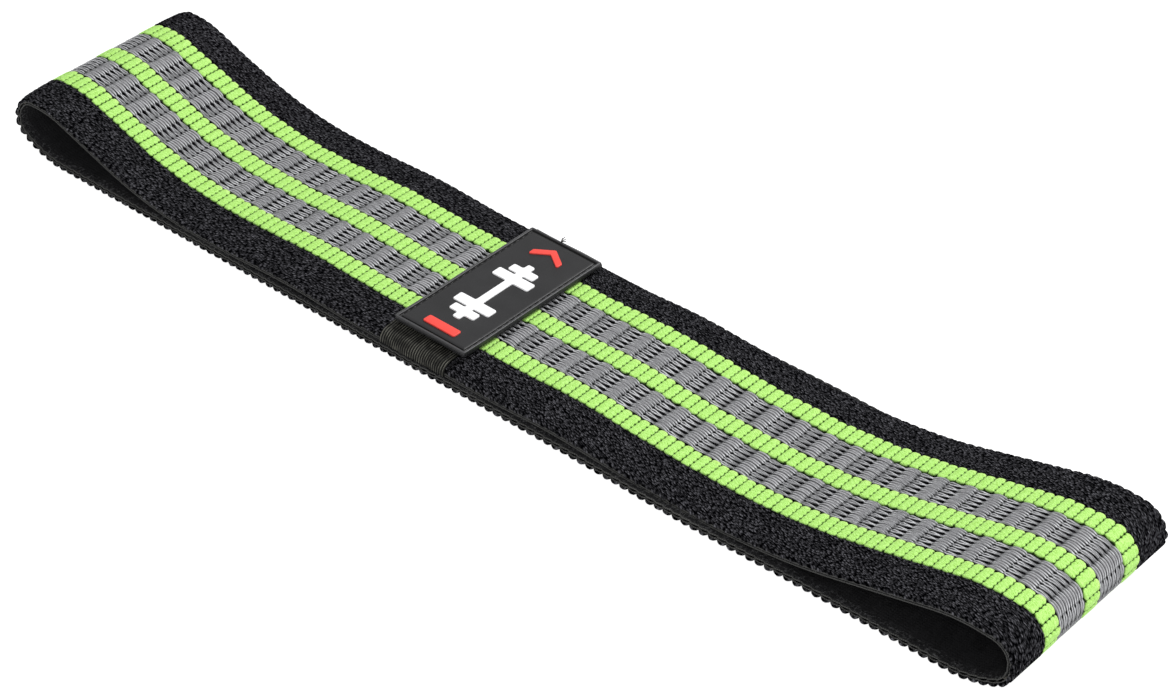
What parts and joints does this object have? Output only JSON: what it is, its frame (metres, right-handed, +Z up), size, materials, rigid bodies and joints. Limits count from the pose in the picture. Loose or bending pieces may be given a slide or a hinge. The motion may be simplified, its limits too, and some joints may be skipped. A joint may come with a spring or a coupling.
{
  "type": "resistance band",
  "caption": "Closed loop of wide woven elastic webbing with inlaid stripes, joined by a tape-bound seam under a soft rectangular label, for hip and thigh exercises.",
  "frame": {"origin": "middle of the bounding box's base, on the surface the band lies on", "axes": "+X along the band towards its longer half, +Y across the webbing towards the back edge, +Z up"},
  "size_m": [0.436, 0.082, 0.0242],
  "materials": {
    "black_webbing": "matt pebbled woven polyester",
    "inner_webbing": "matt brushed woven polyester",
    "selvedge": "tight woven edge",
    "rubber_strand": "natural latex",
    "green_yarn": "ribbed bright yarn",
    "grey_yarn": "floated satin yarn",
    "black_thread": "twisted polyester thread",
    "grosgrain_tape": "fine corded grosgrain",
    "black_pvc": "satin moulded soft PVC",
    "red_pvc": "satin moulded soft PVC",
    "white_pvc": "satin moulded soft PVC"
  },
  "bodies": {
    "seam": {"left_strap_end": "black_webbing", "right_strap_end": "black_webbing", "join_stitches": "black_thread", "cover_tape": "grosgrain_tape", "tape_stitches": "black_thread", "label_base": "black_pvc", "label_stitches": "black_thread", "label_bar": "red_pvc", "label_dumbbell": "white_pvc", "label_chevron": "red_pvc"},
    "left_loop": {"left_outer_ply": "black_webbing", "left_inner_ply": "inner_webbing", "left_rubber_strands": "rubber_strand", "left_selvedge_front": "selvedge", "left_selvedge_back": "selvedge", "left_green_stripe_front": "green_yarn", "left_grey_stripe_front": "grey_yarn", "left_green_stripe_middle": "green_yarn", "left_grey_stripe_back": "grey_yarn", "left_green_stripe_back": "green_yarn"},
    "right_loop": {"right_outer_ply": "black_webbing", "right_inner_ply": "inner_webbing", "right_rubber_strands": "rubber_strand", "right_selvedge_front": "selvedge", "right_selvedge_back": "selvedge", "right_green_stripe_front": "green_yarn", "right_grey_stripe_front": "grey_yarn", "right_green_stripe_middle": "green_yarn", "right_grey_stripe_back": "grey_yarn", "right_green_stripe_back": "green_yarn"}
  },
  "joints": [
    {"name": "right_stretch", "type": "slide", "parent": "seam", "child": "right_loop", "axis": [1, 0, 0], "range_m": [0, 0.12], "stiffness_N_per_m": 1670},
    {"name": "left_stretch", "type": "slide", "parent": "seam", "child": "left_loop", "axis": [-1, 0, 0], "range_m": [0, 0.096], "stiffness_N_per_m": 2090}
  ],
  "couplings": [
    {"joint": "left_stretch", "follows": "right_stretch", "ratio": 0.8}
  ]
}
